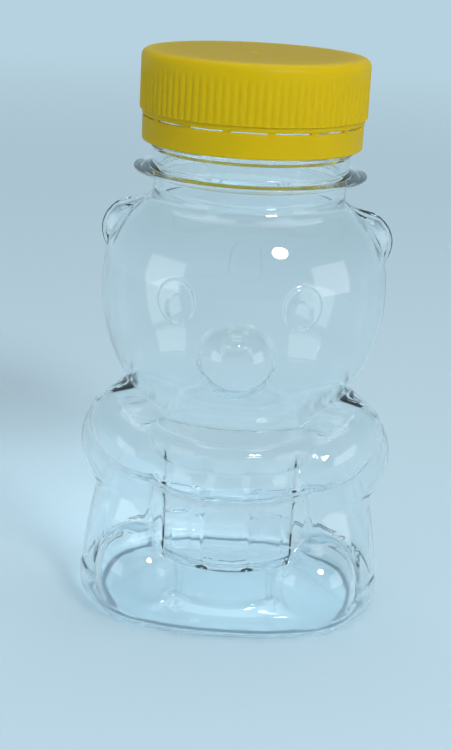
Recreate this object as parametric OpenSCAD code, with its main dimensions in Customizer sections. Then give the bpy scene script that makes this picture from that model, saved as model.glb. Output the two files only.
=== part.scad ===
// Honey bear bottle: a blown bear that hugs a barrel, its threaded neck, screw cap and tear-off band.
// Millimetres. +Z is up, -Y is the bear's front, the origin is on the neck's axis where the base stands.

/* [Blown body] */
// Height of the blown body, up to the moulded neck
body_h = 78.5; // [74:0.5:86]
// Wall of the blown body
body_wall = 0.6; // [0.4:0.05:1]
// Radius of the rounded heel round the base
heel_r = 2.6; // [1.6:0.1:4]
// Width of the flat ring that the bottle stands on
foot_ring_w = 1.5; // [1:0.1:3]
// Height of the push-up in the middle of the base
pushup_h = 4; // [2:0.25:6]

/* [Head] */
// Width of the head
head_w = 52.4; // [48:0.2:57]
// Depth of the head, front to back
head_d = 47.2; // [44:0.2:54]
// Height of the widest line of the head
head_z = 59.5; // [56:0.5:61]
// Width of each ear, seen from the front
ear_w = 13.8; // [10:0.2:18]
// Height of each ear
ear_h = 12.4; // [9:0.2:16]
// Thickness of each ear
ear_t = 6; // [4:0.5:9]

/* [Face] */
// Width of the snout
snout_w = 14.4; // [10:0.2:18]
// Height of the snout
snout_h = 14.6; // [10:0.2:17]
// How far the snout stands out from the head
snout_out = 4.9; // [3:0.1:7]
// Distance from the middle of the face to the middle of each eye
eye_x = 10.9; // [8:0.1:13]
// Height of the eyes above the widest line of the head
eye_up = 2.4; // [0:0.1:5]
// How far the eye's rim stands out
eye_relief = 0.45; // [0.2:0.05:0.8]

/* [Torso and limbs] */
// Width of the torso
torso_w = 52.6; // [48:0.2:55]
// Depth of the torso
torso_d = 42; // [39:0.2:46]
// Width across both upper arms
arms_w = 58.4; // [55:0.2:64]
// Height of the widest line of the upper arms
arm_z = 29.3; // [27:0.1:31]
// Width across both legs
legs_w = 55.8; // [53:0.2:60]
// Width across the seat, just above the heel
seat_w = 55.2; // [52:0.2:58]
// Depth of the seat, just above the heel
seat_d = 50.8; // [48:0.2:54]
// Width of each foot's sole
sole_w = 17; // [13:0.2:18]
// Height of each foot's sole
sole_h = 18.4; // [15:0.2:20]

/* [Barrel] */
// Diameter of the barrel's staves, below the step
barrel_d = 30.8; // [27:0.2:33]
// Distance from the neck's axis to the front of the staves
barrel_front = 26.6; // [25.6:0.1:28]
// Height of the barrel's bottom edge
barrel_bottom = 13.4; // [11:0.1:16]
// Height of the step between the staves and the rim
barrel_step = 26.9; // [25:0.1:29]
// Height of the barrel's top edge
barrel_top = 37.8; // [36:0.1:39]
// Width of the grooves between the staves
groove_w = 4.2; // [2.6:0.1:4.8]
// Depth of the grooves
groove_depth = 0.9; // [0.4:0.05:1.1]
// Distance between two grooves
groove_pitch = 7.7; // [6.6:0.1:8]

/* [Neck] */
// Bore of the neck
bore_d = 32.4; // [30:0.1:33]
// Outer diameter of the neck, under the support ring
neck_d = 35; // [34:0.1:36]
// Diameter of the neck above the support ring, between the thread's ridges
finish_d = 35.6; // [35:0.1:36]
// Height of the neck, from the blown body to the rim
neck_h = 21.85; // [20:0.05:24]
// Diameter of the support ring
ring_d = 42.3; // [40:0.1:45]
// Thickness of the support ring
ring_t = 1.5; // [1:0.1:2]
// Height of the support ring's underside above the blown body
ring_up = 2.25; // [1:0.05:4]
// Diameter of the bead that holds back the tear-off band
bead_d = 38.2; // [37.6:0.1:38.3]
// Height of that bead
bead_h = 1.6; // [1:0.1:2.5]

/* [Cap] */
// Outer diameter of the cap, over the grip ribs
cap_d = 41; // [40.6:0.1:44]
// Bore of the cap's skirt
cap_bore_d = 37.8; // [37.6:0.05:38]
// Height of the cap, from the tear line to the top
cap_h = 11.4; // [10.5:0.1:12.5]
// Thickness of the cap's top
cap_top_t = 1.5; // [1:0.1:2]
// Radius of the cap's rounded top edge
cap_edge_r = 1.3; // [0.8:0.1:2]
// Number of grip ribs
rib_count = 90; // [60:1:120]
// Depth of the grip ribs
rib_depth = 0.35; // [0.2:0.05:0.5]
// Height of the plain ring below the ribs
plain_ring_h = 1; // [0.6:0.1:2]
// Thickness of the sealing liner
liner_t = 1; // [0.6:0.1:1.5]
// Diameter of the sealing liner
liner_d = 37.2; // [36.4:0.1:37.4]

/* [Tear-off band] */
// Outer diameter of the band
band_d = 39.9; // [39.7:0.1:40.4]
// Wall of the band
band_wall = 0.65; // [0.5:0.05:0.7]
// Height of the band
band_h = 4.35; // [3.5:0.05:5]
// Height of the slit between the band and the cap
tear_gap = 0.3; // [0.2:0.05:0.5]
// Number of bridges across the slit
bridge_count = 16; // [8:1:24]
// Width of each bridge
bridge_w = 1.4; // [0.6:0.1:2]

/* [Hidden] */
$fn = 96;

// Heights of the neck and the closure, each on top of the last
ring_z = body_h + ring_up;
rim_z = body_h + neck_h;
cap_top_z = rim_z + liner_t + cap_top_t;
tear_z = cap_top_z - cap_h;
band_top_z = tear_z - tear_gap;
band_z = band_top_z - band_h;
flap_t = 0.9;                    // thickness of the flap inside the band that catches the bead
flap_clearance = 0.3;            // gap between the flap and the bead above it
bead_z = tear_z - 1.4;           // underside of the bead
flap_bore_r = finish_d / 2 + 0.6;
rim_round = 0.5;                 // rounding of the neck's rim
ring_inset = 0.1;                // how far the plain ring stays inside the valleys between the ribs
edge_out = 0.1;                  // how far the rounding of the top edge starts outside the ribs
liner_bead = 0.25;               // how far the ridge that keeps the liner in stands into the cap
neck_wall = (neck_d - bore_d) / 2;
neck_taper_h = 3.5;              // height over which the blown wall grows to the neck's wall

// Head: half an ellipsoid below its widest line, and a fuller form above it that meets the neck in a crease
head_up_w = 20.75;
head_up_d = 22.4;
head_up_power = 2.5;
head_down_w = 28.7;
head_down_d = 27;

// Ears stand on the seam, with their middles inside the head
ear_x = 19.8;
ear_z = head_z + 10.2;

// Snout, nose and eyes lie on the head's front
snout_z = head_z - 7.2;
snout_depth = 8;
snout_y = head_d / 2 + snout_out - snout_depth;
nose = [0, -(head_d / 2 + 2), snout_z + 3.5];
nose_size = [2.7, 3, 2];
eye_z = head_z + eye_up;
eye_size = [3.4, 4];
pupil_size = [2.3, 2.7];
pupil_shift = [0.5, 1.2];        // the pupil sits this far inwards and downwards in the eye
pupil_relief = 0.55;

// Torso and limbs. Each limb is an ellipsoid: its middle, its half sizes, its turn and its slope
torso = [0, 1.5, 16];
torso_up = 41.7;
torso_down = 60;
chest = [0, -6, 41];
chest_size = [16, 12.6, 9];
arm = [14, -0.5, arm_z];
arm_size = [arms_w / 2 - arm[0], 15, 13];
forearm = [18.5, -10.5, arm_z + 4.3];
forearm_size = [12, 6.8, 6.6];
forearm_turn = 57;
forearm_slope = 0.22;
leg = [15, -3.5, 5];
leg_size = [legs_w / 2 - leg[0], 13.5, 21];
sole = [15.8, -15.6, sole_h / 2 - 0.6];
sole_size = [sole_w / 2, 8.8, sole_h / 2];
rump = [0, 4, 9];
rump_size = [25.5, 21.4, 17];
seat_z = 4.5;
seat_top = 4;
seat_power = 2.5;

// Barrel: staves below, a rim of two rounded hoops above the step, on a narrower block
barrel_y = barrel_front - barrel_d / 2;
hoop_in = 0.6;                   // how far the rim's thinnest line stands out from the staves
hoop_out = 0.8;                  // how far the hoops stand out from that line
barrel_edge_r = 1.5;
barrel_step_h = 1.8;             // height over which the staves widen to the rim
barrel_low_r = 2;                // height of the rounding at the bottom of the staves
block_in = 2.2;                  // how far the block under the barrel stands behind the staves
groove_x = [groove_pitch / 2 + 0.25, groove_pitch * 3 / 2 + 0.25];
groove_margin = 0.6;             // distance from the bottom edge and the step to a groove's ends
notch_z = (barrel_step + barrel_top) / 2 - 0.15;
notch_h = 3.3;                   // half height of the short notches in the rim

// Columns of the grid, as half angles from the front, dense at the grooves and the ears
function column_at(x) = asin(x / barrel_front);
function span(from, to, count) = [for (i = [0 : count - 1]) from + (to - from) * i / count];
half_columns = concat(
    span(0, column_at(groove_x[0] - groove_w / 2), 2),
    span(column_at(groove_x[0] - groove_w / 2), column_at(groove_x[0] + groove_w / 2), 4),
    span(column_at(groove_x[0] + groove_w / 2), column_at(groove_x[1] - groove_w / 2), 3),
    span(column_at(groove_x[1] - groove_w / 2), column_at(groove_x[1] + groove_w / 2), 4),
    span(column_at(groove_x[1] + groove_w / 2), 46, 3),
    span(46, 80, 4), span(80, 100, 6), span(100, 180, 7), [180]);
half_count = len(half_columns);
columns = concat(half_columns, [for (i = [half_count - 2 : -1 : 1]) -half_columns[i]]);
column_count = len(columns);

// Rows of the grid, as heights, with a pair of rows at the sharp top edge of the barrel
edge_gap = 0.04;
step_low = barrel_step - barrel_step_h / 2;
step_high = barrel_step + barrel_step_h / 2;
snout_bottom = snout_z - snout_h / 2;
eye_top = eye_z + eye_size[1];
rows = concat(
    span(heel_r, barrel_bottom, 5), span(barrel_bottom, barrel_bottom + barrel_low_r, 2),
    span(barrel_bottom + barrel_low_r, step_low, 4), span(step_low, step_high, 2),
    span(step_high, barrel_top - edge_gap, 7), [barrel_top - edge_gap],
    span(barrel_top + edge_gap, snout_bottom, 3),
    span(snout_bottom, eye_top, 11),
    span(eye_top, body_h, 7), [body_h]);

// Larger of two radii, with a fillet of size k where they meet
function blend(a, b, k) = max(a, b) + pow(max(k - abs(a - b), 0), 2) / k / 4;

// Distance from the axis to the far side of an ellipsoid, along a ray at height z, or 0 if it misses
function limb(ray, z, middle, size, turn = 0, slope = 0) =
    let (
        u = ray[0] * cos(turn) + ray[1] * sin(turn),
        v = ray[1] * cos(turn) - ray[0] * sin(turn),
        mu = middle[0] * cos(turn) + middle[1] * sin(turn),
        mv = middle[1] * cos(turn) - middle[0] * sin(turn),
        w = z - middle[2] + slope * mu,
        a = pow(u / size[0], 2) + pow(v / size[1], 2) + pow(slope * u / size[2], 2),
        b = u * mu / pow(size[0], 2) + v * mv / pow(size[1], 2) + slope * u * w / pow(size[2], 2),
        c = pow(mu / size[0], 2) + pow(mv / size[1], 2) + pow(w / size[2], 2) - 1,
        d = b * b - a * c
    ) d > 0 ? (b + sqrt(d)) / a : 0;

// Radius of an oval section whose half width and half depth shrink away from height mid
function oval(ray, z, width, depth, mid, up_w, up_d, down_w, down_d, up_power) =
    let (
        power = z > mid ? up_power : 2,
        rw = abs(z - mid) / (z > mid ? up_w : down_w),
        rd = abs(z - mid) / (z > mid ? up_d : down_d),
        half_w = width / 2 * pow(max(1 - pow(rw, power), 0.000001), 1 / power),
        half_d = depth / 2 * pow(max(1 - pow(rd, power), 0.000001), 1 / power)
    ) 1 / norm([ray[0] / half_w, ray[1] / half_d]);

// Radius of the seat: a low rounded block that closes under the legs
function seat_radius(ray, z) =
    let (shrink = sqrt(max(1 - pow(max(z - seat_z, 0) / seat_top, 2), 0.000001)))
    shrink / pow(
        pow(abs(ray[0]) / (seat_w / 2), seat_power) + pow(abs(ray[1]) / (seat_d / 2), seat_power),
        1 / seat_power);

function torso_radius(ray, z) =
    let (torso_size = [torso_w / 2, torso_d / 2, z > torso[2] ? torso_up : torso_down])
    blend(blend(blend(blend(blend(blend(blend(
        limb(ray, z, torso, torso_size),
        limb(ray, z, chest, chest_size), 2),
        limb(ray, z, arm, arm_size), 2),
        limb(ray, z, forearm, forearm_size, forearm_turn, forearm_slope), 1.2),
        limb(ray, z, leg, leg_size), 4),
        limb(ray, z, sole, sole_size), 0.8),
        limb(ray, z, rump, rump_size), 4),
        seat_radius(ray, z), 0.8 + 2 * pow(ray[0], 2) + 2 * max(ray[1], 0));

// Depth of the grooves between the staves, and of the notches above them, at a sideways distance x and
// height z: V cuts whose width and depth run out together at their ends
function groove_at(x, z) =
    let (
        mid = (barrel_bottom + barrel_step) / 2,
        half = (barrel_step - barrel_bottom) / 2 - groove_margin,
        long_share = sqrt(max(1 - pow((z - mid) / half, 4), 0)),
        notch_share = sqrt(max(1 - pow((z - notch_z) / notch_h, 2), 0))
    ) groove_depth * max([for (gx = groove_x)
        max(max(long_share, notch_share) - abs(x - gx) / (groove_w / 2), 0)]);

// Radius of the barrel and the block under it, in front of the bear, or 0 away from them
function barrel_radius(ray, z) =
    z > barrel_top || ray[1] > 0 ? 0 :
    let (
        wave = abs(sin(360 * max(z - barrel_step, 0) / (barrel_top - barrel_step))),
        t = min(max((z - step_low) / barrel_step_h, 0), 1),
        rim = (hoop_in + hoop_out * wave) * t * t * (3 - 2 * t),
        top_t = max(z - barrel_top + barrel_edge_r, 0) / barrel_edge_r,
        low_t = min(max(barrel_bottom + barrel_low_r - z, 0) / barrel_low_r, 1),
        edge = barrel_edge_r * (1 - sqrt(1 - top_t * top_t)) + block_in * (1 - sqrt(1 - low_t * low_t)),
        rho = barrel_d / 2 + rim - edge,
        far = sqrt(max(rho * rho - pow(barrel_y * ray[0], 2), 0)) - ray[1] * barrel_y
    ) far - groove_at(far * ray[0], z);

// Height of the eye's relief at a sideways distance x and height z
function eye_at(x, z) =
    let (
        rim = norm([(x - eye_x) / eye_size[0], (z - eye_z) / eye_size[1]]),
        pupil = norm([
            (x - eye_x + pupil_shift[0]) / pupil_size[0], (z - eye_z + pupil_shift[1]) / pupil_size[1]])
    ) eye_relief * min(max((1 - rim) / 0.18, 0), 1) - pupil_relief * min(max((1 - pupil) / 0.25, 0), 1);

function face_radius(ray, z, r) =
    ray[1] > 0 ? r :
    let (
        snout_size = [snout_w / 2, snout_depth, snout_h / 2],
        with_snout = blend(r, limb(ray, z, [0, -snout_y, snout_z], snout_size), 0.6),
        with_nose = blend(with_snout, limb(ray, z, nose, nose_size), 0.5)
    ) with_nose + eye_at(with_nose * ray[0], z);

// Radius of the whole body at half angle a from the front and height z; both sides are alike,
// and the crease between head and torso grows shallower towards the back
function body_radius(a, z) =
    let (
        ray = [abs(sin(a)), -cos(a)],
        head = oval(
            ray, z, head_w, head_d, head_z, head_up_w, head_up_d, head_down_w, head_down_d, head_up_power),
        ears = blend(head, limb(ray, z, [ear_x, 0, ear_z], [ear_w / 2, ear_t / 2, ear_h / 2]), 0.8),
        crease = 1.6 + 6 * max(ray[1], 0),
        bear = blend(blend(ears, torso_radius(ray, z), crease), barrel_radius(ray, z), 0.8),
        faced = face_radius(ray, z, bear)
    ) z > head_z ? blend(faced, neck_d / 2, z > body_h - 0.01 ? 0.001 : 0.6) : faced;

function at(a, r, z) = [r * sin(a), -r * cos(a), z];

// Rings of the outer skin, from the push-up's middle outwards over the foot ring and up to the neck
heel_steps = [90, 60, 30];
dome_steps = [0.3, 0.66];
foot_inset = heel_r + foot_ring_w;
outer_rings = concat(
    [for (s = dome_steps) [for (a = columns)
        at(a, (body_radius(a, heel_r) - foot_inset) * s, pushup_h * (1 - s * s))]],
    [[for (a = columns) at(a, body_radius(a, heel_r) - foot_inset, 0)]],
    [for (t = heel_steps) [for (a = columns)
        at(a, body_radius(a, heel_r) - heel_r * (1 - cos(t)), heel_r * (1 - sin(t)))]],
    [for (z = rows) [for (a = columns) at(a, body_radius(a, z), z)]]);
ring_count = len(outer_rings);

// Direction out of the outer skin at ring i and column j
function outward(i, j) =
    let (
        side = outer_rings[i][(j + 1) % column_count] - outer_rings[i][(j + column_count - 1) % column_count],
        rise = outer_rings[min(i + 1, ring_count - 1)][j] - outer_rings[max(i - 1, 0)][j],
        n = cross(side, rise)
    ) n / norm(n);

// Wall of the body, which grows to the neck's wall at the top
function wall_at(z) = body_wall + (neck_wall - body_wall) * max(z - body_h + neck_taper_h, 0) / neck_taper_h;
function inner_point(i, j) =
    i == ring_count - 1 ? at(columns[j], bore_d / 2, body_h) :
    outer_rings[i][j] - wall_at(outer_rings[i][j][2]) * outward(i, j);
inner_rings = [for (i = [ring_count - 1 : -1 : 0]) [for (j = [0 : column_count - 1]) inner_point(i, j)]];
skin_rings = concat(outer_rings, inner_rings);

// Closed mesh of a stack of rings, with a point at both ends; the diagonals mirror on the two sides
module ring_stack(rings, first, last) {
    n = len(rings[0]);
    count = len(rings);
    points = concat([first], [for (ring = rings) for (p = ring) p], [last]);
    end = len(points) - 1;
    walls = [for (i = [0 : count - 2]) for (j = [0 : n - 1])
        let (
            a = 1 + i * n + j,
            b = 1 + i * n + (j + 1) % n,
            c = b + n,
            d = a + n
        )
        each j < n / 2 ? [[a, d, c], [a, c, b]] : [[a, d, b], [b, d, c]]];
    caps = [for (j = [0 : n - 1]) each [
        [0, 1 + j, 1 + (j + 1) % n],
        [end, end - n + (j + 1) % n, end - n + j]]];
    polyhedron(points, concat(walls, caps), convexity = 6);
}

module bear_body() {
    color([0.75, 0.88, 0.92, 0.5])
        ring_stack(skin_rings, [0, 0, pushup_h], [0, 0, pushup_h + body_wall]);
}

// Moulded neck: support ring, retaining bead and a rounded rim round the bore
module neck_finish() {
    bore_r = bore_d / 2;
    wall_r = finish_d / 2;
    ring_r = ring_d / 2;
    bead_r = bead_d / 2;
    ring_top = ring_z + ring_t;
    ring_chamfer = ring_t / 4;
    color([0.75, 0.88, 0.92, 0.5])
        rotate_extrude() polygon([
            [bore_r, body_h], [neck_d / 2, body_h], [neck_d / 2, ring_z],
            [ring_r - ring_chamfer, ring_z], [ring_r, ring_z + ring_chamfer],
            [ring_r, ring_top - ring_chamfer], [ring_r - ring_chamfer, ring_top],
            [wall_r, ring_top], [wall_r, bead_z],
            [bead_r, bead_z], [bead_r, bead_z + bead_h / 3], [wall_r, bead_z + bead_h],
            [wall_r, rim_z - rim_round],
            for (t = [30 : 30 : 90]) [wall_r - rim_round * (1 - cos(t)), rim_z - rim_round * (1 - sin(t))],
            [bore_r, rim_z]]);
}

// Screw cap: ribbed grip, plain ring below it, rounded top edge and the ridge that keeps the liner in
module cap_shell() {
    cap_r = cap_d / 2;
    edge_r = cap_r + edge_out;
    bore_r = cap_bore_d / 2;
    roof_z = cap_top_z - cap_top_t;
    liner_ridge_z = roof_z - liner_t - 0.6;
    plain_top = tear_z + plain_ring_h;
    color([0.98, 0.85, 0.05]) difference() {
        union() {
            intersection() {
                translate([0, 0, plain_top]) linear_extrude(cap_top_z - plain_top)
                    polygon([for (i = [0 : 2 * rib_count - 1])
                        let (r = cap_r - (i % 2) * rib_depth, a = 180 * i / rib_count)
                        [r * cos(a), r * sin(a)]]);
                rotate_extrude() polygon([
                    [0, plain_top], [edge_r, plain_top],
                    for (t = [0 : 15 : 90])
                        [edge_r - cap_edge_r * (1 - cos(t)), cap_top_z - cap_edge_r * (1 - sin(t))],
                    [0, cap_top_z]]);
            }
            translate([0, 0, tear_z]) cylinder(r = cap_r - rib_depth - ring_inset, h = plain_ring_h);
        }
        translate([0, 0, tear_z - 1]) cylinder(r = bore_r, h = roof_z - liner_t - tear_z + 1);
        rotate_extrude() polygon([
            [0, liner_ridge_z], [bore_r, liner_ridge_z],
            [bore_r - liner_bead, liner_ridge_z + 0.3], [bore_r, liner_ridge_z + 0.6],
            [bore_r, roof_z], [0, roof_z]]);
    }
}

// Foam disc that the cap presses on the neck's rim
module sealing_liner() {
    color("white") translate([0, 0, rim_z]) cylinder(d = liner_d, h = liner_t);
}

// Tear-off band: a thin ring with an inner flap that stays under the neck's bead
module tamper_band() {
    band_r = band_d / 2;
    inner_r = band_r - band_wall;
    flap_top = bead_z - flap_clearance;
    color([0.98, 0.85, 0.05]) rotate_extrude() polygon([
        [inner_r, band_z], [band_r - 0.2, band_z], [band_r, band_z + 0.3],
        [band_r, band_top_z], [inner_r, band_top_z],
        [inner_r, flap_top], [flap_bore_r, flap_top], [flap_bore_r, flap_top - flap_t / 2],
        [inner_r, flap_top - flap_t]]);
}

// Bridges that join the band to the cap until the first opening
module tear_bridges() {
    band_r = band_d / 2;
    color([0.98, 0.85, 0.05])
        for (i = [0 : bridge_count - 1])
            rotate(360 * (i + 0.5) / bridge_count)
                translate([band_r - band_wall + 0.05, -bridge_w / 2, band_top_z])
                    cube([band_wall - 0.1, bridge_w, tear_gap]);
}

bear_body();
neck_finish();
cap_shell();
sealing_liner();
tamper_band();
tear_bridges();
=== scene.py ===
import math

import bpy
import numpy as np
from mathutils import Matrix, Vector


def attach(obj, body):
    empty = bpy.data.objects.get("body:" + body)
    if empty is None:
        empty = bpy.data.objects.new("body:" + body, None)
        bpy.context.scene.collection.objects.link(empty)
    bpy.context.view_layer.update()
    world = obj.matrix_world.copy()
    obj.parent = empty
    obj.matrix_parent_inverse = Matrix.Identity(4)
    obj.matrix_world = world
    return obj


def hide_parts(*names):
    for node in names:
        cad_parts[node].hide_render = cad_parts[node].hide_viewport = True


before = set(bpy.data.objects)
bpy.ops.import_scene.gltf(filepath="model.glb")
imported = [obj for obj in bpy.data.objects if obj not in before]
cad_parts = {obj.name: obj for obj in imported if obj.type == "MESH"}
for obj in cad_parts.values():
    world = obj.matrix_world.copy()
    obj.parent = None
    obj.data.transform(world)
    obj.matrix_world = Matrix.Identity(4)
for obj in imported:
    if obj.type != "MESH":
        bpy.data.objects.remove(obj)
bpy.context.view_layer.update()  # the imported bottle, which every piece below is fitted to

mm = 0.001  # sizes are in millimetres, as in the CAD source, and become metres in the mesh
scene = bpy.context.scene
scene.view_settings.view_transform = "Standard"
scene.cycles.max_bounces = 32  # a look through the bottle crosses many skins of plastic
scene.cycles.transmission_bounces = 32
scene.cycles.glossy_bounces = 8
scene.cycles.transparent_max_bounces = 32
print("frame loaded:", ", ".join(sorted(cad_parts)))


# Shader maths: a wire is one socket of a tree, and sums written with wires add their Math nodes
class Wire:
    def __init__(self, tree, socket=None):
        self.tree = tree
        self.socket = socket

    # any node: its kind, its settings, and the values or wires of its sockets
    def node(self, kind, settings=None, sockets=None, out=0):
        made = self.tree.nodes.new("ShaderNode" + kind)
        for name, value in (settings or {}).items():
            setattr(made, name, value)
        for name, value in (sockets or {}).items():
            if isinstance(value, Wire):
                self.tree.links.new(value.socket, made.inputs[name])
            else:
                made.inputs[name].default_value = value
        return Wire(self.tree, made.outputs[out] if made.outputs else None)

    def maths(self, operation, first, second):
        return self.node("Math", {"operation": operation}, {0: first, 1: second})

    def __add__(self, other):
        return self.maths("ADD", self, other)

    def __radd__(self, other):
        return self.maths("ADD", other, self)

    def __sub__(self, other):
        return self.maths("SUBTRACT", self, other)

    def __rsub__(self, other):
        return self.maths("SUBTRACT", other, self)

    def __mul__(self, other):
        return self.maths("MULTIPLY", self, other)

    def __rmul__(self, other):
        return self.maths("MULTIPLY", other, self)

    def __pow__(self, other):
        return self.maths("POWER", self, other)

    def __rpow__(self, other):
        return self.maths("POWER", other, self)

    # a colour between two others, by a share from 0 to 1
    def between(self, share, first, second):
        return self.node("Mix", {"data_type": "RGBA"}, {0: share, 6: first, 7: second}, out=2)

    # noise at a size in millimetres, on the piece's own coordinates, about 0.5 on average
    def noise(self, size, detail=2.0, roughness=0.5):
        place = self.node("TexCoord", out=3)
        return self.node("TexNoise", {}, {
            "Vector": place, "Scale": 1 / (size * mm), "Detail": detail, "Roughness": roughness})


def newMaterial(name):
    material = bpy.data.materials.new(name)
    material.use_nodes = True
    material.node_tree.nodes.clear()
    return material, Wire(material.node_tree)


def finishMaterial(wires, surface):
    wires.node("OutputMaterial", {}, {"Surface": surface})


# The camera of the photograph, fitted to the ellipses of the cap and to the base
photoView = dict(
    distance=300, height=132.7, aside=-2.5,  # from the bottle's axis, and above the floor
    turn=2.0, pitch=16.7, roll=3.1,          # degrees
    focalPixels=1664, imagePixels=750, sensor=36)


def makeCamera(view):
    turn, pitch, roll = (math.radians(view[key]) for key in ("turn", "pitch", "roll"))
    around = Matrix.Rotation(turn, 3, "Z")
    forward = around @ Vector((0, math.cos(pitch), -math.sin(pitch)))
    level = around @ Vector((1, 0, 0))
    rise = around @ Vector((0, math.sin(pitch), math.cos(pitch)))
    right = math.cos(roll) * level + math.sin(roll) * rise
    up = math.cos(roll) * rise - math.sin(roll) * level
    data = bpy.data.cameras.new("photoCamera")
    data.sensor_width = view["sensor"]
    data.lens = view["focalPixels"] * view["sensor"] / view["imagePixels"]
    data.clip_start, data.clip_end = 0.01, 20
    camera = bpy.data.objects.new("photoCamera", data)
    camera.matrix_world = Matrix.LocRotScale(
        around @ Vector((view["aside"], -view["distance"], view["height"])) * mm,
        Matrix((right, up, -forward)).transposed(), None)
    scene.collection.objects.link(camera)
    scene.camera = camera


makeCamera(photoView)
print("camera placed")


# Surfaces
def putMesh(name, points, faces, material):
    mesh = bpy.data.meshes.new(name)
    mesh.from_pydata((np.asarray(points) * mm).tolist(), [], faces)
    mesh.polygons.foreach_set("use_smooth", np.ones(len(mesh.polygons), bool))
    mesh.materials.append(material)
    mesh.update()
    piece = bpy.data.objects.new(name, mesh)
    scene.collection.objects.link(piece)
    return piece


# Quads between neighbouring rings. Rings run anticlockwise seen from above, and outer sides run upwards
def ringQuads(rows, columns, closed=False, first=0):
    i, j = np.meshgrid(np.arange(rows if closed else rows - 1), np.arange(columns), indexing="ij")
    below, beside = first + i * columns, (j + 1) % columns
    above = first + (i + 1) % rows * columns
    return np.stack([below + j, below + beside, above + beside, above + j], -1).reshape(-1, 4).tolist()


# Triangles between a ring that starts at one index and a ring above it with half as many points
def halvingTriangles(columns, below, above):
    half = columns // 2
    k = np.arange(half)
    low, between, after = below + 2 * k, below + 2 * k + 1, below + (2 * k + 2) % columns
    high, highAfter = above + k, above + (k + 1) % half
    return np.concatenate([np.stack(three, -1) for three in (
        (low, between, high), (between, highAfter, high), (between, after, highAfter))]).tolist()


# A closed skin: a stack of rings with one point on the axis at each end
def closedSkin(name, rings, first, last, material):
    rows, columns = rings.shape[:2]
    points = np.concatenate([rings.reshape(-1, 3), [first, last]])
    j = np.arange(columns)
    beside, start, end = (j + 1) % columns, rows * columns, rows * columns + 1
    top = (rows - 1) * columns
    fans = np.concatenate([
        np.stack([np.full(columns, start), beside, j], -1),
        np.stack([top + j, top + beside, np.full(columns, end)], -1)])
    return putMesh(name, points, ringQuads(rows, columns) + fans.tolist(), material)


# A closed tube of rings, whose profile meets itself, as in a band
def closedLoop(name, rings, material):
    rows, columns = rings.shape[:2]
    return putMesh(name, rings.reshape(-1, 3), ringQuads(rows, columns, True), material)


# Points at an angle from the front, in degrees, at a radius and a height
def onRing(angle, radius, height):
    turn = np.radians(angle)
    return np.stack(np.broadcast_arrays(radius * np.sin(turn), -radius * np.cos(turn), height), -1)


# Rings of a turned shape: a profile of (radius, height) at every angle, plus a relief outwards
def turned(profile, angles, relief=0.0):
    return onRing(angles[None, :], profile[:, :1] + relief, profile[:, 1:])


# A path of straight runs whose corners are rounded by arcs of the given radii, with a point close
# before and after each arc, so that flat runs stay flat when shaded smooth
def roundedPath(corners, steps=5, support=0.12, closed=False):
    spots = np.array([c[:2] for c in corners], float)
    radii = [c[2] if len(c) > 2 else 0 for c in corners]
    path = []
    for k, (spot, radius) in enumerate(zip(spots, radii)):
        if radius == 0 or (not closed and k in (0, len(spots) - 1)):
            path.append([spot])
            continue
        back = spots[k - 1] - spot
        ahead = spots[(k + 1) % len(spots)] - spot
        backRoom, aheadRoom = np.hypot(*back), np.hypot(*ahead)
        back, ahead = back / backRoom, ahead / aheadRoom
        half = math.acos(np.clip(back @ ahead, -1, 1)) / 2
        reach = radius / math.tan(half)
        middle = spot + (back + ahead) / np.hypot(*(back + ahead)) * radius / math.sin(half)
        start, end = spot + back * reach - middle, spot + ahead * reach - middle
        sweep = math.atan2(start[0] * end[1] - start[1] * end[0], start @ end)
        t = np.linspace(0, sweep, steps + 1)[:, None]
        across = np.array([-start[1], start[0]])
        arc = middle + np.cos(t) * start + np.sin(t) * across
        before = [spot + back * (reach + support)] if backRoom > 2 * (reach + support) else []
        after = [spot + ahead * (reach + support)] if aheadRoom > 2 * (reach + support) else []
        path += [p for p in (before, arc, after) if len(p)]
    return np.concatenate([np.asarray(p, float).reshape(-1, 2) for p in path])


# The same path with no run longer than the spacing, which is a function of height
def divided(path, spacing):
    parts = []
    for start, end in zip(path[:-1], path[1:]):
        count = max(1, math.ceil(np.hypot(*(end - start)) / spacing((start[1] + end[1]) / 2)))
        parts.append(start + (end - start) * np.arange(count)[:, None] / count)
    return np.concatenate(parts + [path[-1:]])


# Values from the lowest to the highest of a list of (value, spacing), whose spacing follows that list,
# in an even number of steps
def spread(knots, scale=1.0, samples=8001):
    places, spacings = np.array(knots, float).T
    fine = np.linspace(places[0], places[-1], samples)
    weight = 1 / np.interp(fine, places, spacings * scale)
    total = np.concatenate([[0], np.cumsum((weight[1:] + weight[:-1]) / 2 * (fine[1] - fine[0]))])
    count = 2 * round(total[-1] / 2)
    return np.interp(np.linspace(0, total[-1], count + 1), total, fine)


# A smooth hump of height 1, which falls off as a bell does
def hump(x, middle, width):
    return np.exp(-((x - middle) / width) ** 2)


# From 0 to 1 along an S curve as x goes from 0 to 1
def smoothStep(x):
    t = np.clip(x, 0, 1)
    return t * t * (3 - 2 * t)


# Materials
clearLook = dict(
    tint=(0.955, 0.985, 0.99, 1), ior=1.575,
    haze=0.015, hazeSpread=0.03, hazeSize=30,         # roughness, how much it varies, and over how many mm
    waveSize=9, waveDepth=0.05, waveStrength=0.35,    # slow ripples left by blowing, mm
    letThrough=(0.93, 0.955, 0.965, 1),               # share of a lamp's light that each skin lets pass
    letThroughAside=(0.35, 0.45, 0.5, 1), slant=4)    # and at a slant, which counts by this power


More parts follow.
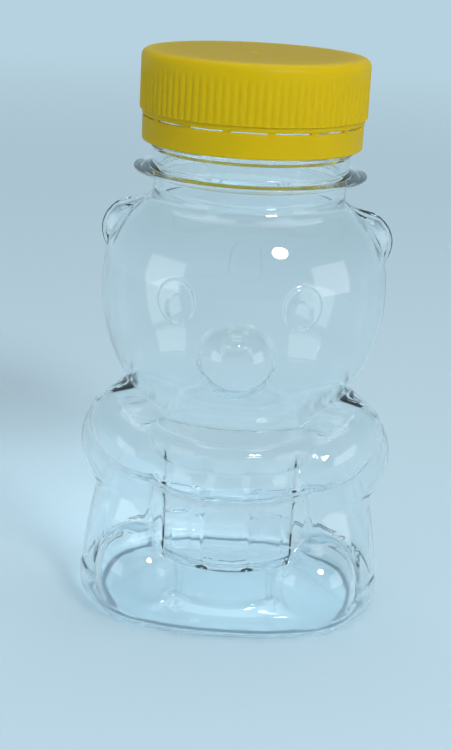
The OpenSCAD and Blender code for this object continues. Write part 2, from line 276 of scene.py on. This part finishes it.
def makeClear(look):
    material, wires = newMaterial("clearPlastic")
    ripple = wires.noise(look["waveSize"], 1.5, 0.4)
    bumped = wires.node("Bump", {}, {
        "Strength": look["waveStrength"], "Distance": look["waveDepth"] * mm, "Height": ripple})
    plastic = wires.node("BsdfPrincipled", {}, {
        "Base Color": look["tint"], "IOR": look["ior"], "Transmission Weight": 1.0,
        "Roughness": look["haze"] + look["hazeSpread"] * wires.noise(look["hazeSize"], 3) ** 2,
        "Normal": bumped})
    straight = wires.node("BsdfTransparent", {}, {"Color": look["letThrough"]})
    slanting = wires.node("BsdfTransparent", {}, {"Color": look["letThroughAside"]})
    slant = wires.node("LayerWeight", {}, {"Blend": 0.5}, out=1) ** look["slant"]
    lampSide = wires.node("MixShader", {}, {0: slant, 1: straight, 2: slanting})
    isShadow = wires.node("LightPath", out=1)
    finishMaterial(wires, wires.node("MixShader", {}, {0: isShadow, 1: plastic, 2: lampSide}))
    return material


yellowLook = dict(
    colour=(0.66, 0.485, 0.001, 1), deeper=(0.61, 0.44, 0.001, 1), cloudSize=6,
    gloss=0.35, glossSpread=0.16, glossSize=1.2,
    letThrough=(0.95, 0.8, 0.002, 1),           # light that passes through the thin walls
    outerShare=0.32, innerShare=0.92,           # and its share of the light at their outer and inner sides
    innerBelow=-5,                              # a side is inner where its distance outwards is below this, mm
    grainSize=0.35, flowSize=2.5, grainDepth=0.012, grainStrength=0.5)  # mm


def makeYellow(look):
    material, wires = newMaterial("yellowPlastic")
    cloud = wires.noise(look["cloudSize"], 3)
    grain = wires.noise(look["grainSize"], 2, 0.6)
    flow = wires.noise(look["flowSize"], 2)
    bumped = wires.node("Bump", {}, {
        "Strength": look["grainStrength"], "Distance": look["grainDepth"] * mm,
        "Height": grain * 0.7 + flow * 0.6})
    plastic = wires.node("BsdfPrincipled", {}, {
        "Base Color": wires.between(cloud, look["colour"], look["deeper"]),
        "Roughness": look["gloss"] + look["glossSpread"] * wires.noise(look["glossSize"], 3),
        "IOR": 1.5, "Specular IOR Level": 0.2, "Normal": bumped})
    through = wires.node("BsdfTranslucent", {}, {"Color": look["letThrough"]})
    # distance from the axis measured along the normal, so it is below 0 where the plastic faces the axis
    fromAxis = wires.node("VectorMath", {"operation": "MULTIPLY"}, {
        0: wires.node("TexCoord", out=3), 1: (1, 1, 0)})
    outwards = wires.node("VectorMath", {"operation": "DOT_PRODUCT"}, {
        0: fromAxis, 1: wires.node("TexCoord", out=1)}, out=1)
    inner = wires.maths("LESS_THAN", outwards, look["innerBelow"] * mm)
    share = look["outerShare"] + (look["innerShare"] - look["outerShare"]) * inner
    finishMaterial(wires, wires.node("MixShader", {}, {0: share, 1: plastic, 2: through}))
    return material


foamLook = dict(
    # the second colour is painted shade, for the hollows between the foam cells
    colour=(0.86, 0.86, 0.83, 1), paintedCellShade=(0.74, 0.74, 0.71, 1),
    gloss=0.62, glossSpread=0.3, glossSize=0.8,
    cellSize=0.28, cellDepth=0.05, cellStrength=0.6)  # mm


def makeFoam(look):
    material, wires = newMaterial("whiteFoam")
    place = wires.node("TexCoord", out=3)
    cells = wires.node("TexVoronoi", {"feature": "F1"}, {
        "Vector": place, "Scale": 1 / (look["cellSize"] * mm)})
    bumped = wires.node("Bump", {}, {
        "Strength": look["cellStrength"], "Distance": look["cellDepth"] * mm, "Height": 1 - cells})
    finishMaterial(wires, wires.node("BsdfPrincipled", {}, {
        # painted shade: the colour darkens towards the cells' borders, where the bump is low
        "Base Color": wires.between(cells, look["colour"], look["paintedCellShade"]),
        "Roughness": look["gloss"] + look["glossSpread"] * wires.noise(look["glossSize"], 3),
        "Normal": bumped}))
    return material


clearPlastic = makeClear(clearLook)
yellowPlastic = makeYellow(yellowLook)
whiteFoam = makeFoam(foamLook)
print("materials made")


# The bear. The radius of its skin is a function of the angle from the front and the height, worked out as
# in the CAD source: the largest of the radii of head, ears, torso, limbs and barrel, with fillets between.
# A wall thickness taken off every form gives the inner skin.
bear = dict(
    height=78.5, wall=0.6, neckWall=1.3, taper=3.5, neckRadius=17.5,
    heel=2.6, footRing=1.5, pushUp=4,
    gateDrop=0.35, gateShare=0.055, gateEdge=0.02,            # the mark left by the gate under the base
    head=(52.4, 47.2, 59.5, 20.75, 22.4, 28.7, 27),           # width, depth, middle, and reach up and down
    headPower=2.5,                                            # fuller than an ellipsoid above its middle
    ear=((19.8, 0, 69.7), (6.9, 3, 6.2)),                     # middle and half sizes
    snout=((0, -20.5, 52.3), (7.2, 8, 7.3)),
    nose=((0, -25.6, 55.8), (2.7, 3, 2)),
    torso=((0, 1.5, 16), (26.3, 21, 41.7), 60),               # and its half height below the middle
    chest=((0, -6, 41), (16, 12.6, 9)),
    arm=((14, -0.5, 29.3), (15.2, 15, 13)),
    forearm=((18.5, -10.5, 33.6), (12, 6.8, 6.6), 57, 0.22),  # and its turn and slope
    leg=((15, -3.5, 5), (12.9, 13.5, 21)),
    sole=((15.8, -15.6, 8.6), (8.5, 8.8, 9.2)),
    rump=((0, 4, 9), (25.5, 21.4, 17)),
    seat=(55.2, 50.8, 4.5, 4, 2.5),                           # width, depth, start, height and power
    limbFillets=dict(chest=2, arm=2, forearm=1.2, leg=4, sole=0.8, rump=4),
    fillets=dict(seat=0.8, ear=0.8, head=1.6, barrel=0.8, snout=0.6, nose=0.5, neck=0.6),
    eye=dict(aside=10.9, height=61.9, size=(3.4, 4), pupil=(2.3, 2.7), inwards=0.5, down=1.2,
             rim=0.42, well=0.4, ramp=0.4),
    partingLine=0.07, partingWidth=0.7,                       # where the mould halves meet, mm and degrees
    angleSpacing=(                                            # of the skin's columns, at angles from the front
        (0, 0.82), (16, 0.78), (19, 0.52), (35, 0.52), (41, 1.7), (78, 2.1), (83, 1.3), (97, 1.3),
        (104, 3), (180, 4.2)))

barrel = dict(
    axis=11.2, radius=15.4, bottom=13.4, step=26.9, top=37.8, edge=1.5,
    stepHeight=1.8, lowEdge=2, blockIn=2.2, hoopIn=0.6, hoopOut=0.8,
    grooves=(4.1, 11.8), grooveWidth=4.2, grooveDepth=0.9, margin=0.6,
    notchHeight=32.2, notchHalf=3.3,
    creaseHalf=0.3, creaseDepth=0.12,                         # the sharp line along the inner grooves
    insideShare=0.85,                                         # of a groove's depth, followed by the inner skin
    ledgeGap=0.03,                                            # from the top to the rows close under and over it
    ledgeShares=(0.04, 0.12, 0.3, 0.5, 0.7, 0.88, 0.96))      # further rings laid across the ledge between them

neck = dict(
    bore=16.2, under=17.5, finish=17.8, start=78.7,
    profile=(  # radius, height and rounding of the corners, up the outside and over the rim
        (17.5, 80.52, 0.15), (18.39, 80.75, 0.2), (21.15, 81.59, 0.12),   # the support ring, tapered below
        (21.15, 81.97, 0.12), (18.96, 82.25, 0.2), (17.8, 82.8, 0.2),     # and above
        (17.8, 85.27, 0.15), (18.33, 85.9, 0.12), (18.33, 86.3, 0.12), (17.8, 86.59, 0.1),  # a fine bead
        (17.8, 90.05, 0.15), (19.1, 90.05, 0.15), (19.1, 90.58, 0.3), (17.8, 91.65, 0.5),   # the band's bead
        (17.8, 100.33, 0.5), (16.2, 100.33, 0.35)))                       # the rim

thread = dict(
    starts=3, lead=9.6, low=93.4, run=150, height=0.75, halfRoot=0.8, halfCrest=0.3, fade=18)
threadHigh = thread["low"] + thread["lead"] * thread["run"] / 360


# The larger of two radii, plus a fillet of size k where they are nearly the same
def blend(a, b, k):
    near = np.maximum(k - np.abs(a - b), 0)
    return np.maximum(a, b) + near * near / (4 * k)


# Distance from the axis to the far side of an ellipsoid along a ray at a height, or 0 if it misses.
# The ellipsoid may be turned about the upright and sheared upwards
def limb(rx, ry, z, middle, size, turn=0, slope=0, wall=0):
    c, s = math.cos(math.radians(turn)), math.sin(math.radians(turn))
    u, v = rx * c + ry * s, ry * c - rx * s
    mu, mv = middle[0] * c + middle[1] * s, middle[1] * c - middle[0] * s
    su, sv, sz = (one - wall for one in size)
    w = z - middle[2] + slope * mu
    a = (u / su) ** 2 + (v / sv) ** 2 + (slope * u / sz) ** 2
    b = u * mu / su ** 2 + v * mv / sv ** 2 + slope * u * w / sz ** 2
    d = b * b - a * ((mu / su) ** 2 + (mv / sv) ** 2 + (w / sz) ** 2 - 1)
    return np.where(d > 0, (b + np.sqrt(np.maximum(d, 0))) / a, 0)


# Radius of an oval section that shrinks below its middle height as an ellipse does, and above it by a power
def oval(rx, ry, z, form, upPower, wall=0):
    width, depth, middle, upWidth, upDepth, downWidth, downDepth = form
    power = np.where(z > middle, upPower, 2)
    def half(full, up, down):
        reach = np.where(z > middle, up, down) - wall
        share = np.maximum(1 - (np.abs(z - middle) / reach) ** power, 1e-6)
        return (full / 2 - wall) * share ** (1 / power)
    return 1 / np.hypot(rx / half(width, upWidth, downWidth), ry / half(depth, upDepth, downDepth))


# Radius of the seat: a low block, rounded between a circle and a rectangle, that closes under the legs
def seatRadius(rx, ry, z, form, wall=0):
    width, depth, start, high, power = form
    shrink = np.sqrt(np.maximum(1 - (np.maximum(z - start, 0) / (high - wall)) ** 2, 1e-6))
    across = (rx / (width / 2 - wall)) ** power + (np.abs(ry) / (depth / 2 - wall)) ** power
    return shrink / across ** (1 / power)


# Depth of the barrel's grooves and of the notches above them: V cuts whose width and depth run out together,
# with a crease along the bottom of each inner groove on the outer skin
def grooveDepth(x, z, inside):
    half = barrel["grooveWidth"] / 2
    middle = (barrel["bottom"] + barrel["step"]) / 2
    reach = (barrel["step"] - barrel["bottom"]) / 2 - barrel["margin"]
    groove = np.sqrt(np.maximum(1 - ((z - middle) / reach) ** 4, 0))
    notch = np.sqrt(np.maximum(1 - ((z - barrel["notchHeight"]) / barrel["notchHalf"]) ** 2, 0))
    size = np.maximum(groove, notch)
    fromInner, fromOuter = (np.abs(x - at) for at in barrel["grooves"])
    cut = barrel["grooveDepth"] * np.maximum(size - np.minimum(fromInner, fromOuter) / half, 0)
    line = np.maximum(1 - fromInner / barrel["creaseHalf"], 0)
    crease = barrel["creaseDepth"] * smoothStep(size / 0.5) * line
    return cut * barrel["insideShare"] if inside else cut + crease


# Radius of the barrel in front of the bear: a cylinder that widens above its step to two hoops and stands on
# a narrower block, with rounded edges and V grooves; 0 away from it
def barrelRadius(rx, ry, z, wall=0):
    bottom, step, top = barrel["bottom"] + wall, barrel["step"] + wall, barrel["top"] - wall
    wave = np.abs(np.sin(2 * np.pi * np.maximum(z - step, 0) / (top - step)))
    rise = smoothStep((z - step) / barrel["stepHeight"] + 0.5)
    topShare = np.clip((z - top + barrel["edge"]) / barrel["edge"], 0, 1)
    lowShare = np.clip((bottom + barrel["lowEdge"] - z) / barrel["lowEdge"], 0, 1)
    edge = (barrel["edge"] * (1 - np.sqrt(1 - topShare ** 2))
            + barrel["blockIn"] * (1 - np.sqrt(1 - lowShare ** 2)))
    rho = barrel["radius"] - wall - edge + (barrel["hoopIn"] + barrel["hoopOut"] * wave) * rise
    far = np.sqrt(np.maximum(rho ** 2 - (barrel["axis"] * rx) ** 2, 0)) - ry * barrel["axis"]
    cut = grooveDepth(far * rx, z, np.any(wall))
    return np.where((z > top) | (ry > 0), 0, far - cut)


# Relief of an eye: a raised oval rim round a sunken pupil, with narrow sloping edges
def eyeRelief(x, z, eye):
    inX, inZ = x - eye["aside"] + eye["inwards"], z - eye["height"] + eye["down"]
    rim = np.hypot((x - eye["aside"]) / eye["size"][0], (z - eye["height"]) / eye["size"][1])
    pupil = np.hypot(inX / eye["pupil"][0], inZ / eye["pupil"][1])
    rimStep = smoothStep((1 - rim) * eye["size"][0] / eye["ramp"])
    return eye["rim"] * rimStep - eye["well"] * smoothStep((1 - pupil) * eye["pupil"][0] / eye["ramp"])


# Radius of the whole bear at an angle from the front, in degrees, and a height; wall 0 is the outer skin
def bearRadius(angle, z, wall=0):
    rx, ry = np.abs(np.sin(np.radians(angle))), -np.cos(np.radians(angle))
    rx, ry, z = np.broadcast_arrays(rx, ry, z)
    back = np.maximum(ry, 0)
    middle, (halfWidth, halfDepth, up), down = bear["torso"]
    body = limb(rx, ry, z, middle, (halfWidth, halfDepth, np.where(z > middle[2], up, down)), wall=wall)
    for name, fillet in bear["limbFillets"].items():
        body = blend(body, limb(rx, ry, z, *bear[name], wall=wall), fillet)
    fillets = bear["fillets"]  # those of seat and head grow towards the back, and the seat's at the sides too
    body = blend(body, seatRadius(rx, ry, z, bear["seat"], wall), fillets["seat"] + 2 * rx ** 2 + 2 * back)
    skin = oval(rx, ry, z, bear["head"], bear["headPower"], wall)
    skin = blend(skin, limb(rx, ry, z, *bear["ear"], wall=wall), fillets["ear"])
    skin = blend(skin, body, fillets["head"] + 6 * back)
    skin = blend(skin, barrelRadius(rx, ry, z, wall), fillets["barrel"])
    face = skin
    for name in ("snout", "nose"):
        face = blend(face, limb(rx, ry, z, *bear[name], wall=wall), fillets[name])
    outer = not np.any(wall)  # the eyes and the mould's line show on the outer skin alone
    face = face + outer * eyeRelief(face * rx, z, bear["eye"])
    skin = np.where(ry < 0, face, skin)
    seam = outer * bear["partingLine"] * hump(np.abs(angle), 90, bear["partingWidth"])
    high = z > bear["head"][2]
    return np.where(high, blend(skin, bear["neckRadius"] - wall, fillets["neck"]), skin) + seam


# Angles round the bear, close together on the snout, the eyes, the barrel's grooves and the ears, with one at
# each groove's edges and middle
def bearAngles():
    half = spread(bear["angleSpacing"])
    for middle in barrel["grooves"]:
        edge, fine = barrel["grooveWidth"] / 2, barrel["creaseHalf"]
        for off in (-edge, -fine, 0, fine, edge):
            x = middle + off
            front = barrel["axis"] + math.sqrt(barrel["radius"] ** 2 - x * x)
            spot = math.degrees(math.atan2(x, front))
            half[np.argmin(np.abs(half - spot))] = spot
    return np.concatenate([half, -half[-2:0:-1]])


# Heights up the bear, close together at the barrel's edges and over the face, with a row where the hoops meet
# and two rows close together at the barrel's top
def bearHeights(scale=1.0, wall=0):
    bottom, step, top = barrel["bottom"] + wall, barrel["step"] + wall, barrel["top"] - wall
    rows = spread((
        (bear["heel"], 0.7), (bottom - 1, 0.6), (bottom, 0.1), (bottom + 2, 0.32), (step - 1.5, 0.36),
        (step, 0.22), (top - 1.6, 0.32), (top, 0.07), (top + 0.8, 0.5), (44, 0.6), (46, 0.32), (56.5, 0.32),
        (58, 0.22), (66, 0.22), (68, 0.8), (bear["height"], 0.8)), scale)
    hoopLine = (step + top) / 2
    rows[np.argmin(np.abs(rows - hoopLine))] = hoopLine
    rows = rows[np.abs(rows - top) > 0.05]
    return np.sort(np.append(rows, [top - barrel["ledgeGap"], top + barrel["ledgeGap"]])), top


# Rings up the body: at each height, a ring of points at the skin's radius. Between the two rows at the
# barrel's top, further rings cross the ledge in straight lines. The wall may grow with the height
def bodyRings(angles, scale=1.0, wall=0.0, growth=None):
    heights, top = bearHeights(scale, wall)
    thick = wall if growth is None else growth(heights)[:, None]
    rings = onRing(angles, bearRadius(angles[None, :], heights[:, None], thick), heights[:, None])
    at = np.argmin(np.abs(heights - top + barrel["ledgeGap"]))
    shares = np.array(barrel["ledgeShares"])[:, None, None]
    return np.concatenate([rings[:at + 1], rings[at] + (rings[at + 1] - rings[at]) * shares, rings[at + 1:]])


# Wall of the body, which grows to the neck's wall at the top
def wallAt(z):
    share = np.maximum(z - bear["height"] + bear["taper"], 0) / bear["taper"]
    return bear["wall"] + (bear["neckWall"] - bear["wall"]) * share


# Rings of the base, from the middle of the push-up out over the foot ring and up the heel: the push-up's
# height falls off with the square of the share of the way out, and the heel is an arc of a circle
def baseRings(angles, wall=0.0):
    heel = bear["heel"] - wall
    foot = bearRadius(angles, bear["heel"], wall) - heel
    inner = foot - bear["footRing"]
    shares = np.array([0.03, 0.06, 0.075, 0.12, 0.25, 0.4, 0.55, 0.7, 0.82, 0.91, 0.97, 0.995])
    nub = bear["gateDrop"] * (1 - smoothStep((shares - bear["gateShare"]) / bear["gateEdge"])) * (wall == 0)
    dome = [onRing(angles, inner * s, wall + bear["pushUp"] * (1 - s * s) ** 1.5 - drop)
            for s, drop in zip(shares, nub)]
    flat = [onRing(angles, inner + bear["footRing"] * s, wall + 0.0 * s) for s in (0, 0.08, 0.5, 0.92)]
    curve = [onRing(angles, foot + heel * math.sin(t), wall + heel * (1 - math.cos(t)))
             for t in np.radians(np.linspace(0, 78, 8))]
    return np.stack(dome + flat + curve)


# Ridges of a thread with several starts: the height over the wall at an angle and a height, faded at both ends
def threadRelief(angle, z, form, drop=0.0, skip=0.0):
    relief = np.zeros(np.broadcast(angle, z).shape)
    for start in range(form["starts"]):
        along = np.mod(angle - start * 360 / form["starts"] - skip, 360)
        middle = form["low"] - drop + form["lead"] * (along + skip) / 360
        slope = form["halfRoot"] - form["halfCrest"]
        flank = smoothStep((form["halfRoot"] - np.abs(z - middle)) / slope)
        ends = smoothStep(along / form["fade"]) * smoothStep((form["run"] - along) / form["fade"])
        relief = np.maximum(relief, form["height"] * flank * ends)
    return relief


# Spacing of the rows up a threaded wall: close together on the thread, and wide away from it
def threadRows(close, wide):
    return lambda z: close if thread["low"] - 1 < z < threadHigh + 1 else wide


# The bottle is one closed skin, laid in rings up the outside and down the inside: base and body at all
# angles, then the turned neck with its thread, the inner body and the inner base at every second angle
def makeBottle():
    angles = bearAngles()
    coarse = angles[::2]
    outer = np.concatenate([baseRings(angles), bodyRings(angles)])
    corners = [(neck["under"], neck["start"]), *neck["profile"], (neck["bore"], neck["start"])]
    path = divided(roundedPath(corners), threadRows(0.24, 2.2))
    threaded = (path[:, :1] > neck["finish"] - 0.01) & (path[:, 1:] > thread["low"] - 1.2)
    relief = threadRelief(coarse[None, :], path[:, 1:], thread) * threaded
    innerBody = bodyRings(coarse, 2.0, bear["wall"], wallAt)[::-1]
    innerBase = baseRings(coarse, bear["wall"])[::-1]
    rest = np.concatenate([turned(path, coarse, relief), innerBody, innerBase])
    rows, columns = outer.shape[:2]
    restRows, restColumns = rest.shape[:2]
    start = rows * columns                      # index of the first coarse point
    underside = start + restRows * restColumns  # and of the two points in the middle of the base
    inside, lastRing = underside + 1, underside - restColumns
    j, k = np.arange(columns), np.arange(restColumns)
    faces = ringQuads(rows, columns) + halvingTriangles(columns, start - columns, start)
    faces += ringQuads(restRows, restColumns, first=start)
    faces += np.stack([np.full(columns, underside), (j + 1) % columns, j], -1).tolist()
    faces += np.stack([
        lastRing + k, lastRing + (k + 1) % restColumns, np.full(restColumns, inside)], -1).tolist()
    points = np.concatenate([outer.reshape(-1, 3), rest.reshape(-1, 3), [
        (0, 0, bear["pushUp"] - bear["gateDrop"]), (0, 0, bear["pushUp"] + bear["wall"])]])
    return putMesh("bearBottle", points, faces, clearPlastic)


bottle = makeBottle()
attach(bottle, "bottle")
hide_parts("bear_body", "neck_finish")
print("bottle made,", sum(len(face.vertices) - 2 for face in bottle.data.polygons), "triangles")


# The cap: ribs that fade out below its rounded top edge, a plain ring below them, and its thread inside
cap = dict(
    radius=20.5, ringRadius=20.05, bore=18.9, low=91.45, ringHigh=92.45, high=102.85, roof=101.35,
    edge=1.35, ribs=90, ribDepth=0.3, columnsPerRib=6,
    ribFadeLow=98.2, ribFadeHigh=101.4, ribStart=0.15, ribPower=0.7,
    linerRidge=99.75, ridgeHalf=0.3, ridgeDepth=0.25,     # the ridge that holds the liner
    threadSkip=40, threadHalf=(0.6, 0.2),                 # the cap's thread starts this many degrees further on
    gateRadius=0.9, gateDepth=0.15, gateEdge=0.15)


# Depth of the ribs' valleys: rounded crests with narrow valleys, fading out towards the top
def ribRelief(angle, z):
    phase = np.abs(np.cos(np.radians(angle * cap["ribs"] / 2)))
    fade = 1 - smoothStep((z - cap["ribFadeLow"]) / (cap["ribFadeHigh"] - cap["ribFadeLow"]))
    start = smoothStep((z - cap["ringHigh"]) / cap["ribStart"])
    return -cap["ribDepth"] * (1 - phase ** cap["ribPower"]) * fade * start


# The cap: a rounded profile turned about the axis, less the valleys between its ribs, with a thread that
# stands inwards from its bore
def makeCap():
    angles = np.arange(cap["ribs"] * cap["columnsPerRib"]) * 360 / (cap["ribs"] * cap["columnsPerRib"])
    inside = [
        (1, cap["roof"]), (cap["bore"], cap["roof"], 0.1),
        (cap["bore"], cap["linerRidge"] + 2 * cap["ridgeHalf"], 0.1),
        (cap["bore"] - cap["ridgeDepth"], cap["linerRidge"] + cap["ridgeHalf"], 0.15),
        (cap["bore"], cap["linerRidge"], 0.1),
        (cap["bore"], cap["low"], 0.2), (cap["ringRadius"], cap["low"], 0.25),
        (cap["ringRadius"], cap["ringHigh"], 0.05)]
    outside = [
        (cap["radius"], cap["ringHigh"], 0.1), (cap["radius"], cap["high"], cap["edge"]),
        (cap["gateRadius"], cap["high"], 0.08),
        (cap["gateRadius"] - cap["gateEdge"], cap["high"] - cap["gateDepth"], 0.08),
        (0.2, cap["high"] - cap["gateDepth"])]
    path = divided(roundedPath(inside + outside, steps=6), threadRows(0.3, 1.6))
    bore = np.abs(path[:, :1] - cap["bore"]) < 0.01
    ribbed = (path[:, :1] > cap["radius"] - cap["edge"]) & (path[:, 1:] > cap["ringHigh"] + 0.05)
    grip = dict(thread, halfRoot=cap["threadHalf"][0], halfCrest=cap["threadHalf"][1])
    drop = thread["lead"] / thread["starts"] / 2  # midway between two turns of the neck's thread
    ridges = threadRelief(angles[None, :], path[:, 1:], grip, drop, cap["threadSkip"])
    relief = np.where(bore, -ridges, 0) + np.where(ribbed, ribRelief(angles[None, :], path[:, 1:]), 0)
    return closedSkin("screwCap", turned(path, angles, relief), (0, 0, cap["roof"]),
                      (0, 0, cap["high"] - cap["gateDepth"]), yellowPlastic)


screwCap = makeCap()
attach(screwCap, "cap")
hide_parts("cap_shell")
print("cap made,", sum(len(face.vertices) - 2 for face in screwCap.data.polygons), "triangles")


# The tear-off band, with the flap inside it that catches the neck's bead
band = dict(
    radius=19.95, inner=19.3, low=86.8, high=91.15,
    flapBore=18.4, flapHigh=89.75, flapThick=0.9, flapTaper=0.45, columns=288)


# A rounded closed profile turned about the axis
def makeBand():
    flapLow = band["flapHigh"] - band["flapThick"]
    corners = [
        (band["inner"], band["low"], 0.12), (band["radius"] - 0.05, band["low"], 0.3),
        (band["radius"], band["high"], 0.08), (band["inner"], band["high"], 0.08),
        (band["inner"], band["flapHigh"], 0.1), (band["flapBore"], band["flapHigh"], 0.18),
        (band["flapBore"], flapLow + band["flapTaper"], 0.12), (band["inner"], flapLow, 0.1)]
    path = roundedPath(corners, steps=4, support=0.06, closed=True)
    angles = np.arange(band["columns"]) * 360 / band["columns"]
    return closedLoop("tearOffBand", turned(path, angles), yellowPlastic)


tearOffBand = makeBand()
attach(tearOffBand, "band")
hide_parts("tamper_band")

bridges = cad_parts["tear_bridges"]
bridges.data.materials.clear()
bridges.data.materials.append(yellowPlastic)
print("band made")


# The foam liner, with the shallow ring that the neck's rim has pressed into it
liner = dict(
    radius=18.6, low=100.35, high=101.35,
    pressIn=16.05, pressOut=17.95, pressEdge=0.15, pressDepth=0.08, columns=288)


# A rounded profile turned about the axis
def makeLiner():
    low, high = liner["low"], liner["high"]
    pressed = low + liner["pressDepth"]
    corners = [
        (1, low), (liner["pressIn"], low, 0.1), (liner["pressIn"] + liner["pressEdge"], pressed, 0.1),
        (liner["pressOut"] - liner["pressEdge"], pressed, 0.1), (liner["pressOut"], low, 0.1),
        (liner["radius"], low, 0.18), (liner["radius"], high, 0.18), (1, high)]
    path = divided(roundedPath(corners, steps=4, support=0.05), lambda z: 2)
    angles = np.arange(liner["columns"]) * 360 / liner["columns"]
    return closedSkin("foamLiner", turned(path, angles), (0, 0, low), (0, 0, high), whiteFoam)


foamLiner = makeLiner()
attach(foamLiner, "liner")
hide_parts("sealing_liner")
print("liner made")


# The studio: a pale floor, lamps as the photograph's glints place them, and a plain pale world
studio = dict(
    floorColour=(0.47, 0.64, 0.74, 1), floorRadius=2500, floorRings=24, floorColumns=96,
    fadeStart=300, fadeEnd=1000,                # where the floor turns into the plain background, mm
    worldLight=0.55, horizon=(0.47, 0.64, 0.74, 1), zenith=(0.23, 0.32, 0.37, 1),
    horizonEnd=0.03, zenithStart=0.55,          # upward share of a direction where each colour ends
    lampsFace=50)                               # height of the point that the lamps face, mm

# Each lamp's azimuth from the front towards +X and its elevation in degrees, its distance and size in mm
# and its power in watts. All face the bottle's middle
lamps = dict(
    flashLamp=dict(azimuth=32, elevation=37, distance=800, size=(160, 160), power=3.2, disc=True),
    windowLeft=dict(azimuth=-62, elevation=7, distance=850, size=(520, 380), power=0.6),
    windowRight=dict(azimuth=72, elevation=8, distance=850, size=(520, 400), power=0.7),
    skyLamp=dict(azimuth=180, elevation=75, distance=1300, size=(1100, 900), power=4.0))


# 1 for the rays that show a thing to the camera: straight, in a reflection or through the plastic
def seenRays(wires):
    camera, glossy, through = (wires.node("LightPath", out=k) for k in (0, 3, 6))
    return wires.maths("MAXIMUM", wires.maths("MAXIMUM", camera, glossy), through)


def makeFloor():
    material, wires = newMaterial("floorPaper")
    paper = wires.node("BsdfPrincipled", {}, {
        "Base Color": studio["floorColour"], "Roughness": 0.8, "Specular IOR Level": 0.2})
    background = wires.node("Emission", {}, {"Color": studio["horizon"], "Strength": 1.0})
    distance = wires.node("VectorMath", {"operation": "LENGTH"}, {0: wires.node("TexCoord", out=3)}, out=1)
    fade = wires.node("MapRange", {"interpolation_type": "SMOOTHSTEP"}, {
        0: distance, 1: studio["fadeStart"] * mm, 2: studio["fadeEnd"] * mm})
    finishMaterial(wires, wires.node("MixShader", {}, {
        0: fade * seenRays(wires), 1: paper, 2: background}))
    columns = studio["floorColumns"]
    radii = np.geomspace(2, studio["floorRadius"], studio["floorRings"])
    rings = onRing(np.arange(columns)[None, :] * 360 / columns, radii[:, None], 0.0)[::-1]
    points = np.concatenate([rings.reshape(-1, 3), [(0, 0, 0)]])
    last, j = (len(radii) - 1) * columns, np.arange(columns)
    fan = np.stack([last + j, last + (j + 1) % columns, np.full(columns, len(points) - 1)], -1).tolist()
    floor = putMesh("floor", points, ringQuads(len(radii), columns) + fan, material)


def makeLamp(name, azimuth, elevation, distance, size, power, disc=False):
    data = bpy.data.lights.new(name, "AREA")
    data.shape = "DISK" if disc else "RECTANGLE"
    data.size = size[0] * mm
    if not disc:
        data.size_y = size[1] * mm
    data.energy = power
    turn, tilt = math.radians(azimuth), math.radians(elevation)
    target = Vector((0, 0, studio["lampsFace"])) * mm
    away = Vector((math.sin(turn) * math.cos(tilt), -math.cos(turn) * math.cos(tilt), math.sin(tilt)))
    lamp = bpy.data.objects.new(name, data)
    lamp.matrix_world = Matrix.LocRotScale(
        target + away * distance * mm, away.to_track_quat("Z", "Y"), None)
    scene.collection.objects.link(lamp)


def makeWorld():
    world = bpy.data.worlds.new("studioWorld")
    scene.world = world
    world.use_nodes = True
    world.node_tree.nodes.clear()
    wires = Wire(world.node_tree)
    direction = wires.node("SeparateXYZ", {}, {0: wires.node("TexCoord", out=0)}, out=2)
    height = wires.node("MapRange", {}, {0: direction, 1: studio["horizonEnd"], 2: studio["zenithStart"]})
    seen = wires.node("Background", {}, {
        "Color": wires.between(height, studio["horizon"], studio["zenith"]), "Strength": 1.0})
    soft = wires.node("Background", {}, {"Color": (1, 1, 1, 1), "Strength": studio["worldLight"]})
    wires.node("OutputWorld", {}, {
        "Surface": wires.node("MixShader", {}, {0: seenRays(wires), 1: soft, 2: seen})})


makeFloor()
makeWorld()
for name, lamp in lamps.items():
    makeLamp(name, **lamp)
print("studio lit")
